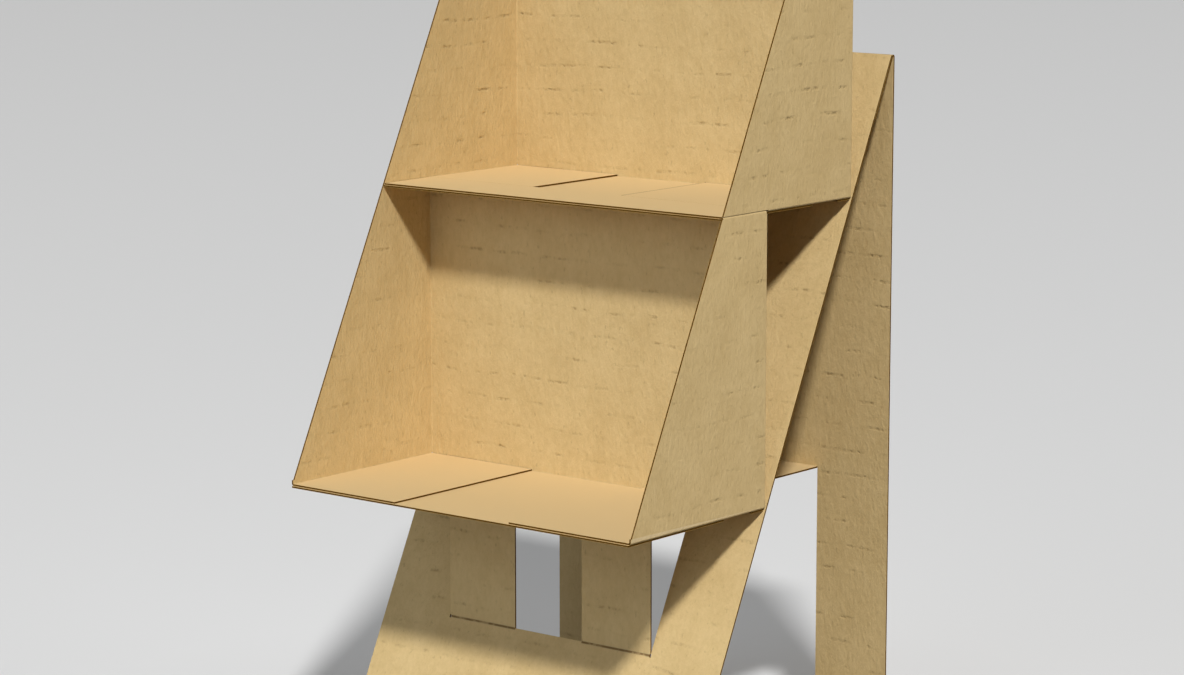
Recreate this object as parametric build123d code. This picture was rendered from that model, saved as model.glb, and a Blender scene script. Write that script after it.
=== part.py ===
from build123d import *
import os
from math import cos, radians, sin, tan

# A cardboard display stand: a leaning front board, a rear strut that folds out behind it like
# an easel, and two open bins, one clipped on top of the other. Each of the four is one die-cut
# blank of single-wall board, folded. X runs to the viewer's right, Y to the back, Z up.
# The origin is on the floor, in the middle of the stand's own width and depth.

# ---- board and clearances ----
board = 1.6              # caliper of the E-flute board
fold_inner = 0.5         # inside radius of a crease
lay_gap = 0.1            # air left between two plies that lie on each other
slide_gap = 0.3          # room round a panel or tongue that slides through or between others
pass_gap = 1.0           # room at each side of the brace where it passes through the window
notch_wide = 1.6         # crease relief at the outer ends of the prop creases
notch_tall = 3.0
crease_lead = 3.0        # flat board that a folded strip takes along, next to its crease
cut_past = 1.0           # how far a cutting block reaches past the board that it cuts
join_lap = 1.0           # how far a tongue's outline starts inside its flap

# ---- stand ----
shelf_height = 268.0     # floor to the underside of the lower bin
stand_width = 400.0
board_rise = 396.0       # lower bin's underside to the top of the leaning board
lean = 25.64             # degrees from upright, of the leaning board and of the bins' open fronts
window_width = 240.0
window_drop = 134.0      # lower bin's underside to the window's sill
prop_width = 80.0
prop_tab = 30.0          # tab on top of each prop, through the brace
glue_flap = 68.0         # rear strut's glued flap, along the slope
brace_margin = 5.0       # board left in front of the props' slots

# ---- bins ----
bin_width = 400.0
bin_depth = 196.0        # along the floor of a bin
bin_pitch = 268.0        # one bin's floor to the next
flap_left = 128.0        # floor flaps, from the bin's outer side
flap_right = 137.0
flap_right_upper = 167.0
flap_set_back = 1.5      # floor flaps stop behind the floor's front edge
floor_inset = 1.5        # floor's cut ends stay inside the sides
tuck_depth = 30.0        # tuck flap that holds the top lid down
tongue_width = 40.0
tongue_place = 160.0     # from the middle of the stand to a tongue's centre
tongue_reach = 16.0      # how far a tongue stands out behind the leaning board
tongue_chamfer = 5.0

# ---- worked out from the above ----
slope_sin = sin(radians(lean))
slope_cos = cos(radians(lean))
slope_tan = tan(radians(lean))
fold_outer = fold_inner + board
fold_middle = fold_inner + board / 2
stand_top = shelf_height + board_rise
sill_height = shelf_height - window_drop
brace_width = window_width - 2 * pass_gap
brace_top = shelf_height - lay_gap
brace_middle = brace_top - board / 2

flap_under = board + lay_gap                        # underside of a bin's floor flaps
side_low = flap_under + fold_outer                  # where a bin's sides start to be flat
lid_under = bin_pitch + board + lay_gap
lid_top = lid_under + board
wall_x = bin_width / 2 - board / 2                  # middle of a bin's side panel
wall_y = bin_depth - board / 2                      # middle of a bin's back panel
fold_x = bin_width / 2 - fold_outer                 # flat board ends here at the corner creases
fold_y = bin_depth - fold_outer
inner_x = bin_width / 2 - board - slide_gap         # widest panel that goes between two sides
grip_depth = bin_depth - bin_pitch * slope_tan      # upper floor's part that the lower lid holds
grip_end = grip_depth + slide_gap
tongue_inset = bin_width / 2 - tongue_place         # a side's outer face to its tongue's centre


def face_y(height):
    """Y of the leaning board's front face at a height; the bins' rear lower folds touch it."""
    touch_y = bin_depth - fold_outer + (fold_outer + lay_gap) / slope_cos
    return touch_y + (height - shelf_height - fold_outer) * slope_tan


def along_slope(height):
    """Distance up the front face at which the middle of the leaning board is at a height."""
    return (height + slope_sin * board / 2) / slope_cos


sill_y = face_y(0) + along_slope(sill_height) * slope_sin + slope_cos * board / 2
apex_height = stand_top + fold_middle / sin(radians(lean / 2)) - fold_middle - board / 2
apex_y = face_y(apex_height) + (board + lay_gap + board / 2) / slope_cos
stand_depth = apex_y + board / 2


def strip(points, frame, width):
    """A strip of board, creased at the inner points of its middle line, wide along the frame's axis."""
    line = FilletPolyline(*points, radius=fold_middle) if len(points) > 2 else Line(*points)
    return extrude(frame * trace(line, board), width)


def block(x0, x1, y0, y1, z0, z1):
    """A straight block between two corners."""
    return Pos(x0, y0, z0) * Box(x1 - x0, y1 - y0, z1 - z0, align=(Align.MIN, Align.MIN, Align.MIN))


def sideways(x0):
    """Frame for a middle line in Y and Z that is extruded to the right from x0."""
    return Plane.YZ.offset(x0)


def forwards(y1):
    """Frame for a middle line in X and Z that is extruded to the front from y1."""
    return Plane.XZ.offset(-y1)


# ---- leaning board ----

def front_board():
    """The leaning board, its window and the two props folded out of the window."""
    face = Plane((0, face_y(0), 0), x_dir=(1, 0, 0), z_dir=(0, -slope_cos, slope_sin))
    low = board * slope_tan
    high = stand_top / slope_cos
    sill = along_slope(sill_height)
    head = (shelf_height + pass_gap) / slope_cos

    def rect(x0, x1, s0, s1):
        return Pos((x0 + x1) / 2, (s0 + s1) / 2) * Rectangle(x1 - x0, s1 - s0)

    outline = rect(-stand_width / 2, stand_width / 2, low, high)
    outline -= rect(-window_width / 2, window_width / 2, sill, head)
    for side in (-1, 1):
        outer = side * window_width / 2
        x0, x1 = sorted((outer, outer - side * prop_width))
        outline -= rect(x0, x1, sill - crease_lead, head)
        outline -= Pos(side * tongue_place, tongue_slope()) * tongue_slot()
    sheet = extrude(face * outline, -board)

    for side in (-1, 1):
        sheet += prop(side * (window_width - prop_width) / 2)
        sheet -= crease_notch(side * window_width / 2)
    return sheet


def crease_notch(x):
    """Relief through the board at the outer end of a prop's crease."""
    return block(x - notch_wide / 2, x + notch_wide / 2, sill_y - notch_tall, sill_y + notch_tall,
                 sill_height - notch_tall / 2, sill_height + notch_tall / 2)


def prop(middle):
    """One prop: creased at the sill, upright, with a tab on top for the brace's slot."""
    start = (sill_y - crease_lead * slope_sin, sill_height - crease_lead * slope_cos)
    shoulder = brace_top - board - lay_gap
    panel = strip([start, (sill_y, sill_height), (sill_y, shoulder)],
                  sideways(middle - prop_width / 2), prop_width)
    tab = block(middle - prop_tab / 2, middle + prop_tab / 2, sill_y - board / 2,
                sill_y + board / 2, shoulder, brace_top)
    return panel + tab


def tongue_slope():
    """Distance up the front face to the middle of the lower bin's tongue slots."""
    return along_slope(shelf_height + flap_under + board / 2)


def tongue_slot():
    """Slot through the leaning board, square to it, that a level tongue slides through."""
    tall = board / slope_cos + board * slope_tan + 2 * slide_gap
    slot = Rectangle(tongue_width + 2 * slide_gap, tall)
    return slot + Pos(0, bin_pitch / slope_cos) * slot


# ---- rear strut ----

def rear_strut():
    """The strut: glued flap, fold at the top, two legs and the brace folded from between them."""
    flap_end = (apex_y - glue_flap * slope_sin, apex_height - glue_flap * slope_cos)
    sheet = strip([flap_end, (apex_y, apex_height), (apex_y, 0)],
                  sideways(-stand_width / 2), stand_width)

    crease_top = brace_middle + fold_middle + crease_lead
    sheet -= block(-brace_width / 2, brace_width / 2, apex_y - board, apex_y + board,
                   -cut_past, crease_top)
    brace_end = sill_y - board / 2 - brace_margin
    sheet += strip([(apex_y, crease_top), (apex_y, brace_middle), (brace_end, brace_middle)],
                   sideways(-brace_width / 2), brace_width)

    half = prop_tab / 2 + slide_gap
    for side in (-1, 1):
        x = side * (window_width - prop_width) / 2
        sheet -= block(x - half, x + half, sill_y - board / 2 - slide_gap,
                       sill_y + board / 2 + slide_gap, brace_top - 2 * board, brace_top + board)
    return sheet


# ---- bins: each is drawn with its floor's underside at z = 0 and its front edge at y = 0 ----

def bin_walls(side_bottom, back_top):
    """Back and sides, creased at the two rear corners, with the slanted open front."""
    corners = [(-wall_x, 0), (-wall_x, wall_y), (wall_x, wall_y), (wall_x, 0)]
    walls = strip(corners, Plane.XY.offset(side_low), back_top - side_low)
    right_top = lid_top - fold_outer
    for side, top in ((-1, lid_top), (1, right_top)):
        inner = side * (bin_width / 2 - board)
        x0, x1 = sorted((inner, side * bin_width / 2))
        if top > back_top:
            walls += block(x0, x1, 0, fold_y, back_top, top)
        if side_bottom < side_low:
            walls += block(x0, x1, 0, grip_end, side_bottom, side_low)
    front = Polygon((-cut_past, -cut_past), (-cut_past * slope_tan, -cut_past),
                    (lid_top * slope_tan, lid_top), (-cut_past, lid_top), align=None)
    return walls - extrude(Plane.YZ.offset(-bin_width) * front, 2 * bin_width)


def tongue_tip():
    """Y of the tongues' ends."""
    return face_y(shelf_height + flap_under + board / 2) + board / slope_cos + tongue_reach


def bin_floor(plate_front):
    """Floor and the crease that joins it to the back; wider behind plate_front.

    In the flat blank a tongue lies beside the floor, so the floor is cut out round its place."""
    floor = strip([(0, board / 2), (wall_y, board / 2), (wall_y, side_low + crease_lead)],
                  sideways(-fold_x), 2 * fold_x)
    edge = bin_width / 2 - floor_inset
    floor += block(-edge, edge, plate_front, fold_y, 0, board)
    half = tongue_width / 2 + slide_gap
    middle = bin_depth - tongue_inset
    inner = bin_width / 2 - (tongue_tip() - fold_y)
    for x0, x1 in ((-bin_width / 2, -inner), (inner, bin_width / 2)):
        floor -= block(x0, x1, middle - half, middle + half, -cut_past, board + cut_past)
    return floor


def floor_flap(side, width, front):
    """A flap creased along a side's lower edge, laid on the floor, with its tongue."""
    middle = flap_under + board / 2
    end = side * (bin_width / 2 - width)
    flap = strip([(side * wall_x, side_low + crease_lead), (side * wall_x, middle), (end, middle)],
                 forwards(fold_y), fold_y - front)
    tip = tongue_tip()
    outline = Polygon((-tongue_width / 2, fold_y - join_lap), (tongue_width / 2, fold_y - join_lap),
                      (tongue_width / 2, tip - tongue_chamfer),
                      (tongue_width / 2 - tongue_chamfer, tip),
                      (tongue_chamfer - tongue_width / 2, tip),
                      (-tongue_width / 2, tip - tongue_chamfer), align=None)
    tongue = extrude(Pos(side * tongue_place, 0, flap_under) * outline, board)
    return flap + tongue


def lid(tuck):
    """Top panel, creased along the right side's upper edge; a tuck flap holds the last one down."""
    middle = lid_top - board / 2
    path = [(wall_x, lid_top - fold_outer - crease_lead), (wall_x, middle), (-inner_x, middle)]
    if tuck:
        tuck_x = board / 2 - inner_x
        path = path[:2] + [(tuck_x, middle), (tuck_x, middle - tuck)]
    front = lid_top * slope_tan
    panel = strip(path, forwards(fold_y), fold_y - front)
    left = fold_outer - inner_x if tuck else -inner_x
    return panel + block(left, fold_x, front, bin_depth, lid_under, lid_top)


def bin_blank(side_bottom, back_top, plate_front, flap_front, right_flap, tuck):
    """One bin, from one blank."""
    sheet = bin_walls(side_bottom, back_top) + bin_floor(plate_front)
    for side in (-1, 1):
        x = side * tongue_place
        half = tongue_width / 2 + slide_gap
        sheet -= block(x - half, x + half, fold_y, bin_depth + board, board,
                       flap_under + board + slide_gap)
    for side, width in ((-1, flap_left), (1, right_flap)):
        sheet += floor_flap(side, width, flap_front)
    return sheet + lid(tuck)


def lower_bin():
    """Its lid lies on the upper bin's floor."""
    return bin_blank(side_bottom=side_low, back_top=bin_pitch - lay_gap, plate_front=0,
                     flap_front=flap_set_back, right_flap=flap_right, tuck=0)


def upper_bin():
    """Its floor reaches under the lower bin's lid, so its flaps start behind that lid."""
    sheet = bin_blank(side_bottom=lid_top - bin_pitch + lay_gap, back_top=lid_top - fold_outer,
                      plate_front=grip_end, flap_front=grip_end, right_flap=flap_right_upper,
                      tuck=tuck_depth)
    return Pos(0, bin_pitch * slope_tan, bin_pitch) * sheet


def stand():
    """Every piece in the stand's place, by name."""
    on_shelf = Pos(0, 0, shelf_height)
    pieces = {
        "front_board": front_board(),
        "rear_strut": rear_strut(),
        "lower_bin": on_shelf * lower_bin(),
        "upper_bin": on_shelf * upper_bin(),
    }
    to_middle = Pos(0, -stand_depth / 2, 0)
    return {name: to_middle * piece for name, piece in pieces.items()}


os.makedirs("parts", exist_ok=True)
for name, piece in stand().items():
    export_step(piece, f"parts/{name}.step")
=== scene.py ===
import bmesh
import bpy
from math import radians, tau
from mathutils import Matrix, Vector


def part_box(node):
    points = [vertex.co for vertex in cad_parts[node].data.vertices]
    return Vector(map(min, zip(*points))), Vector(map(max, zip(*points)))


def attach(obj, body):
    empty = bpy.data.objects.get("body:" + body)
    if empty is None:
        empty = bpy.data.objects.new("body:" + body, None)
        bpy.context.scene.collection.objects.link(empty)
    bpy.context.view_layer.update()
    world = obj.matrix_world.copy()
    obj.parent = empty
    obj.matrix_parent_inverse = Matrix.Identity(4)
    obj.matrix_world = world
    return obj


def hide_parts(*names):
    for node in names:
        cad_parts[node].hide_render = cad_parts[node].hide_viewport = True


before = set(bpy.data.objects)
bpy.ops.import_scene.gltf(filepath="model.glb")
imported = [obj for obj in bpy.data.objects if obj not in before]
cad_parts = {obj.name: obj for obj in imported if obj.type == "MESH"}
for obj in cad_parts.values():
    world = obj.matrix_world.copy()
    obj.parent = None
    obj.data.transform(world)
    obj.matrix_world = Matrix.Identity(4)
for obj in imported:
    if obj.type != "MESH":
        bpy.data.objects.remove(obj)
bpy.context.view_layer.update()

# ---- the stand, in metres ----
STAND_WIDTH = 0.4
BOARD = 0.0016                         # thickness of the board
REST_GAP = 0.0001                      # between panels that lie on each other
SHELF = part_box("lower_bin")[0][2]      # underside of the lower bin
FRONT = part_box("lower_bin")[0][1]      # front edge of the lower bin's floor
WINDOW_DROP = 0.134                    # lower bin's underside to the window's sill
SILL = SHELF - WINDOW_DROP
PROP_INNER = 0.040                     # a prop's sides, from the middle of the stand
PROP_OUTER = 0.120
FLAP_END = 0.033                       # the free end of the upper bin's right floor flap
FLAP_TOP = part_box("upper_bin")[0][2] + 2 * BOARD + REST_GAP

# ---- reading the folds off the mesh ----
SHARP_TURN = radians(44)               # faces that turn more than this meet at a cut edge
CREASE_TURN = radians(4)               # faces that turn less than this lie in one panel
CREASE_FACET = 0.0035                  # widest face of a crease's round
WELD = 1e-6                            # corners this near are one

# ---- the board's finishes ----
KRAFT = (0.535, 0.380, 0.168, 1)
KRAFT_LIGHT = (0.625, 0.458, 0.218, 1)
# level panels, painted lighter as painted light from above
KRAFT_LEVEL_PAINTED_LIGHT = (0.655, 0.475, 0.235, 1)
KRAFT_DARK = (0.260, 0.170, 0.060, 1)
CREASE_CREAM = (0.700, 0.550, 0.320, 1)
# painted shade: the dark lines at the window sill's crease and at the flap's end
PAINTED_SHADE_BROWN = (0.200, 0.120, 0.045, 1)
# painted shade: the dark hollows between the flute's waves on a cut edge
FLUTE_HOLLOW_PAINTED_SHADE = (0.070, 0.029, 0.002, 1)
FLUTE_LIGHT = (0.380, 0.195, 0.040, 1)
LINER_EDGE = (0.430, 0.265, 0.075, 1)
STRUT_SHADE = 0.93                     # the strut's board is a little darker than the rest
MARK_PITCH = 0.0235                    # one row of marks on the liner to the next
FLUTE_PITCH = 0.0032                   # one wave of the fluting to the next
LINER_RELIEF = 0.00060                 # how deep the liner's fibres and marks look
EDGE_RELIEF = 0.0004

# ---- the studio ----
FLOOR_RADIUS = 60
FLOOR_DROP = 0.0002                    # keeps the floor clear of the feet's undersides
FLOOR_EVEN = 0.6                       # the floor keeps its near tone out to this distance
FLOOR_FADE = 20                        # and has its far tone at this many times that distance
FLOOR_NEAR = (0.722, 0.720, 0.715, 1)
FLOOR_FAR = (0.548, 0.545, 0.540, 1)
FLOOR_DIM = (0.22, 0.22, 0.22, 1)      # the floor as the stand sees it, so little light comes up
FLOOR_GLOW = 0.18                      # share of the floor's tone that shadows leave alone
FLOOR_GLOW_STRENGTH = 0.93
FILL_TINT = (0.92, 1.0, 1.10)          # the front fill is a little cooler than the key
SURROUND_STRENGTH = 0.06
LENS = 107.24                          # in millimetres, on a 36 mm sensor
SENSOR = 36
VIEW_RANGE = 200
EYE_OFFSET = (5.075, -5.759, 1.662)    # in stand widths, from the middle of the lower bin's front edge
LOOK_DOWN = radians(9.32)
LOOK_ASIDE = radians(39.09)


class Wire:
    """A shader socket on which sums, differences, products and quotients add Math nodes."""

    def __init__(self, tree, socket=None):
        self.tree = tree
        self.socket = socket

    def node(self, kind, settings=None, out=0, **inputs):
        """Add a node. Its sockets are named with _ for a space, or numbered as i0, i1 and so on."""
        made = self.tree.nodes.new(kind)
        for name, value in (settings or {}).items():
            setattr(made, name, value)
        for name, value in inputs.items():
            key = int(name[1:]) if name[1:].isdigit() else name.replace("_", " ")
            if isinstance(value, Wire):
                self.tree.links.new(value.socket, made.inputs[key])
            else:
                made.inputs[key].default_value = value
        return Wire(self.tree, made.outputs[out])

    def into(self, node, name):
        """Link this to the named socket of a node that is already there."""
        self.tree.links.new(self.socket, node.inputs[name])

    def maths(self, operation, *values):
        numbered = {f"i{number}": value for number, value in enumerate(values)}
        return self.node("ShaderNodeMath", {"operation": operation}, **numbered)

    def __add__(self, other):
        return self.maths("ADD", self, other)

    def __radd__(self, other):
        return self.maths("ADD", other, self)

    def __sub__(self, other):
        return self.maths("SUBTRACT", self, other)

    def __rsub__(self, other):
        return self.maths("SUBTRACT", other, self)

    def __mul__(self, other):
        return self.maths("MULTIPLY", self, other)

    def __rmul__(self, other):
        return self.maths("MULTIPLY", other, self)

    def __truediv__(self, other):
        return self.maths("DIVIDE", self, other)

    def __abs__(self):
        return self.maths("ABSOLUTE", self)

    def axis(self, letter):
        """One coordinate of a place or a direction."""
        return self.node("ShaderNodeSeparateXYZ", out="XYZ".index(letter), Vector=self)

    def smooth(self, low, high):
        """0 below low, 1 above high, with a soft step between."""
        return self.node("ShaderNodeMapRange", {"interpolation_type": "SMOOTHSTEP"},
                         Value=self, From_Min=low, From_Max=high)

    def blend(self, first, second):
        """The first colour where this is 0, the second where it is 1."""
        return self.node("ShaderNodeMix", {"data_type": "RGBA"}, out=2, i0=self, i6=first, i7=second)

    def noise(self, scale, detail=3.0, stretch=(1, 1, 1), rough=0.55):
        """Noise over this place, drawn out where a factor in stretch is under 1."""
        spread = self.node("ShaderNodeMapping", Vector=self, Scale=stretch)
        return spread.node("ShaderNodeTexNoise", Vector=spread, Scale=scale, Detail=detail,
                           Roughness=rough)


def new_finish(name, roughness, gloss):
    """A material with its shader, and an empty wire to build on."""
    finish = bpy.data.materials.new(name)
    finish.use_nodes = True
    shader = finish.node_tree.nodes["Principled BSDF"]
    shader.inputs["Roughness"].default_value = roughness
    shader.inputs["Specular IOR Level"].default_value = gloss
    return finish, shader, Wire(finish.node_tree)


def sill_crease_painted_shade(place):
    """Painted shade along the crease at the window's sill, under each prop."""
    across = abs(place.axis("X"))
    off_sill = abs(place.axis("Z") - SILL)
    on_sill = 1 - off_sill.smooth(0.0004, 0.0016)
    past_inner = across.smooth(PROP_INNER - 0.0005, PROP_INNER)
    past_outer = across.smooth(PROP_OUTER, PROP_OUTER + 0.0015)
    patchy = place.noise(160, 2).smooth(0.30, 0.55)
    return on_sill * past_inner * (1 - past_outer) * (0.55 + patchy * 0.45)


def flap_end_painted_shade(place):
    """Painted shade: a faint dark line on the upper bin's right floor flap, beside its free end."""
    side = place.axis("X")
    off_top = abs(place.axis("Z") - FLAP_TOP)
    past_end = side.smooth(FLAP_END - 0.0002, FLAP_END)
    past_mark = side.smooth(FLAP_END + 0.0010, FLAP_END + 0.0016)
    return past_end * (1 - past_mark) * (1 - off_top.smooth(0.0002, 0.0005)) * 0.8


def flute_rows(place):
    """Broken level marks on the liner, where the fluting shows through."""
    rows = place.axis("Z") / MARK_PITCH + place.noise(10, 2) * 0.5
    off_row = abs(rows.maths("FRACT", rows) - 0.5)
    thread = 1 - off_row.smooth(0.010, 0.10)
    runs = place.noise(13, 2).smooth(0.42, 0.60)
    dashes = place.noise(60, 3, (1, 1, 0.5)).smooth(0.46, 0.62)
    beads = place.noise(260, 2, (1, 1, 0.9)).smooth(0.45, 0.66)
    return thread * dashes * (0.35 + runs * 0.65) * (0.28 + beads * 0.72)


def kraft_liner(name, shade=1.0, painted_shade_lines=None):
    """Brown liner: upright fibres, faint level marks where the fluting shows through, specks.

    Level panels are smoother, and painted lighter as painted light from above. A blank's lines of
    painted shade come from the function it is given."""
    finish, shader, start = new_finish(name, 0.88, 0.25)
    place = start.node("ShaderNodeTexCoord", out="Object")
    facing = start.node("ShaderNodeTexCoord", out="Normal")
    level = abs(facing.axis("Z")).smooth(0.85, 0.97)
    rough_part = 1 - level * 0.85

    fibres = place.noise(560, 4, (1, 1, 0.38), 0.65)
    streaks = place.noise(190, 4, (1, 1, 0.50))
    clouds = place.noise(28, 3, (1, 1, 0.8))
    specks = place.noise(300, 2, (1, 1, 0.5))
    marks = flute_rows(place) * rough_part

    tone = (fibres - 0.5) * 0.5 + (streaks - 0.5) * 0.6 + (clouds - 0.5) * 0.7 + 0.5
    colour = tone.smooth(0.15, 0.85).blend(KRAFT, KRAFT_LIGHT)
    # Level panels are painted lighter here: painted light from above.
    colour = level.blend(colour, KRAFT_LEVEL_PAINTED_LIGHT)
    dark = marks * 0.52 + specks.smooth(0.62, 0.78) * rough_part * 0.32
    colour = dark.blend(colour, KRAFT_DARK)

    fold = start.node("ShaderNodeUVMap", {"uv_map": "strip"})
    outer_crease = fold.axis("X") * fold.axis("Y")
    colour = (outer_crease * 0.6).blend(colour, CREASE_CREAM)
    # Painted shade: the dark lines a blank is given, at a crease or at a flap's end.
    if painted_shade_lines:
        colour = painted_shade_lines(place).blend(colour, PAINTED_SHADE_BROWN)
    colour = colour.node("ShaderNodeMix", {"data_type": "RGBA", "blend_type": "MULTIPLY"}, out=2,
                         i0=1.0, i6=colour, i7=(shade, shade, shade, 1))
    colour.into(shader, "Base Color")

    relief = (fibres * 0.9 + streaks * 1.1 + specks * 0.5 - marks * 0.9) * rough_part
    bump = relief.node("ShaderNodeBump", Strength=1.0, Distance=LINER_RELIEF, Height=relief)
    bump.into(shader, "Normal")
    return finish


def cut_edge():
    """Cut edge: two thin liners with the fluting between them; the hollows between the flute's waves
    are painted shade.
    """
    finish, shader, start = new_finish("cut_edge", 0.95, 0.0)
    strip = start.node("ShaderNodeUVMap", {"uv_map": "strip"})
    across = strip.axis("Y")
    turn = strip.axis("X") * (tau / FLUTE_PITCH)
    wave = turn.maths("SINE", turn) * 0.30 + 0.5
    flute = 1 - abs(across - wave).smooth(0.04, 0.12)
    liner = abs(across - 0.5).smooth(0.37, 0.42)
    ragged = strip.noise(400, 2, rough=0.5)
    tufts = flute * ragged.smooth(0.45, 0.60)
    # Between the flute's waves the colour is painted shade, for the dark hollows of the fluting.
    colour = liner.blend(tufts.blend(FLUTE_HOLLOW_PAINTED_SHADE, FLUTE_LIGHT), LINER_EDGE)
    colour.into(shader, "Base Color")
    paper = tufts * 0.4 + liner
    bump = paper.node("ShaderNodeBump", Strength=0.6, Distance=EDGE_RELIEF, Height=paper)
    bump.into(shader, "Normal")
    return finish


def smooth_regions(mesh):
    """Groups of faces that run into each other without a sharp edge, the largest first."""
    seen = set()
    regions = []
    for first in mesh.faces:
        if first in seen:
            continue
        seen.add(first)
        region, queue = [first], [first]
        while queue:
            face = queue.pop()
            for other in (near for edge in face.edges for near in edge.link_faces):
                if other not in seen and face.normal.angle(other.normal) < SHARP_TURN:
                    seen.add(other)
                    region.append(other)
                    queue.append(other)
        regions.append(region)
    return sorted(regions, key=lambda faces: -sum(face.calc_area() for face in faces))


def edge_turn(edge):
    """How far a face edge turns: positive on the outside of a fold, negative on the inside."""
    if len(edge.link_faces) != 2:
        return 0
    first, second = edge.link_faces
    angle = first.normal.angle(second.normal)
    step = second.calc_center_median() - first.calc_center_median()
    return -angle if first.normal.dot(step) > 0 else angle


def crease_side(face):
    """0 off the creases, -1 on the inside of a fold and 1 on its outside."""
    longest = max(edge.calc_length() for edge in face.edges)
    if 2 * face.calc_area() / longest > CREASE_FACET:
        return 0
    turn = max((edge_turn(edge) for edge in face.edges), key=abs)
    if not CREASE_TURN < abs(turn) < SHARP_TURN:
        return 0
    return 1 if turn > 0 else -1


def run_of(faces):
    """The direction of the longest edge among these faces."""
    longest = max((edge for face in faces for edge in face.edges), key=lambda edge: edge.calc_length())
    return (longest.verts[1].co - longest.verts[0].co).normalized()


def board_piece(name, liner, edge_finish):
    """The blank as board: its two sides take the liner, the strips between them the cut edge.

    The strip map holds, on a cut edge, how far along it a point is and which side it is nearer,
    and on the liner, whether a face is on a crease and whether that is the fold's outside."""
    mesh = bmesh.new()
    mesh.from_mesh(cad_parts[name].data)
    bmesh.ops.remove_doubles(mesh, verts=mesh.verts, dist=WELD)
    strip = mesh.loops.layers.uv.new("strip")
    first_side, second_side, *cut_strips = smooth_regions(mesh)
    for face in first_side + second_side:
        face.material_index = 0
        face.smooth = True
        side = crease_side(face)
        for loop in face.loops:
            loop[strip].uv = (abs(side), (side + 1) / 2)
    first_corners = {corner for face in first_side for corner in face.verts}
    for faces in cut_strips:
        run = run_of(faces)
        for face in faces:
            face.material_index = 1
            face.smooth = False
            for loop in face.loops:
                loop[strip].uv = (loop.vert.co.dot(run), float(loop.vert not in first_corners))
    for edge in mesh.edges:
        edge.smooth = abs(edge_turn(edge)) < SHARP_TURN
    data = bpy.data.meshes.new(name + "_board")
    mesh.to_mesh(data)
    mesh.free()
    piece = bpy.data.objects.new(name + "_board", data)
    bpy.context.collection.objects.link(piece)
    data.materials.append(liner)
    data.materials.append(edge_finish)
    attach(piece, "root")
    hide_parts(name)


def floor_finish():
    """Pale grey, a little darker far from the stand; the stand's shadow on it reads soft and light."""
    finish, shader, start = new_finish("studio_floor", 1.0, 0.0)
    place = start.node("ShaderNodeTexCoord", out="Object")
    away = start.node("ShaderNodeVectorMath", {"operation": "LENGTH"}, out="Value", i0=place)
    reach = away / FLOOR_EVEN
    far = start.node("ShaderNodeClamp", Value=reach.maths("LOGARITHM", reach, FLOOR_FADE))
    colour = far.blend(FLOOR_NEAR, FLOOR_FAR)
    seen = start.node("ShaderNodeLightPath", out="Is Camera Ray")
    for other in ("Is Glossy Ray", "Is Transmission Ray"):
        seen = seen.maths("MAXIMUM", seen, start.node("ShaderNodeLightPath", out=other))
    seen.blend(FLOOR_DIM, colour).into(shader, "Base Color")
    matt = Wire(start.tree, shader.outputs[0])
    glow = start.node("ShaderNodeEmission", Color=colour, Strength=FLOOR_GLOW_STRENGTH)
    mixed = start.node("ShaderNodeMixShader", i0=seen * FLOOR_GLOW, i1=matt, i2=glow)
    mixed.into(start.tree.nodes["Material Output"], "Surface")
    return finish


def studio_floor():
    """A wide pale floor under the stand."""
    mesh = bmesh.new()
    bmesh.ops.create_circle(mesh, cap_ends=True, segments=96, radius=FLOOR_RADIUS)
    data = bpy.data.meshes.new("studio_floor")
    mesh.to_mesh(data)
    mesh.free()
    floor = bpy.data.objects.new("studio_floor", data)
    bpy.context.collection.objects.link(floor)
    floor.location = (0, 0, -FLOOR_DROP)
    data.materials.append(floor_finish())


def sun_lamp(name, travel, strength, spread, tint=(1, 1, 1)):
    """A lamp whose light travels in one direction, with a soft disc spread degrees wide."""
    data = bpy.data.lights.new(name, "SUN")
    data.energy = strength
    data.color = tint
    data.angle = radians(spread)
    lamp = bpy.data.objects.new(name, data)
    lamp.rotation_euler = Vector(travel).to_track_quat("-Z", "Y").to_euler()
    bpy.context.collection.objects.link(lamp)


def studio_light():
    """A key from the front right, a wide low fill from the front and two from behind."""
    sun_lamp("key", (-0.724, 0.740, -1), 3.30, 5)
    sun_lamp("front_fill", (0.25, 1, -0.03), 1.60, 80, FILL_TINT)
    sun_lamp("rear_fill_right", (-0.80, -0.60, -0.20), 1.00, 80)
    sun_lamp("rear_fill_left", (0.70, -0.70, -0.25), 0.60, 80)
    world = bpy.data.worlds.new("surround")
    world.use_nodes = True
    surround = world.node_tree.nodes["Background"]
    surround.inputs["Color"].default_value = (1, 1, 1, 1)
    surround.inputs["Strength"].default_value = SURROUND_STRENGTH
    bpy.context.scene.world = world


def camera():
    """A long lens, to the front right of the stand and a little above it."""
    data = bpy.data.cameras.new("camera")
    data.sensor_width = SENSOR
    data.lens = LENS
    data.clip_end = VIEW_RANGE
    eye = bpy.data.objects.new("camera", data)
    eye.location = Vector((0, FRONT, SHELF)) + Vector(EYE_OFFSET) * STAND_WIDTH
    eye.rotation_euler = (radians(90) - LOOK_DOWN, 0, LOOK_ASIDE)
    bpy.context.collection.objects.link(eye)
    bpy.context.scene.camera = eye


liners = {
    "front_board": kraft_liner("kraft_liner_front", painted_shade_lines=sill_crease_painted_shade),
    "rear_strut": kraft_liner("kraft_liner_strut", shade=STRUT_SHADE),
    "lower_bin": kraft_liner("kraft_liner"),
    "upper_bin": kraft_liner("kraft_liner_upper", painted_shade_lines=flap_end_painted_shade),
}
edge_finish = cut_edge()
for blank, liner in liners.items():
    board_piece(blank, liner, edge_finish)
studio_floor()
studio_light()
camera()
bpy.context.scene.view_settings.view_transform = "Standard"
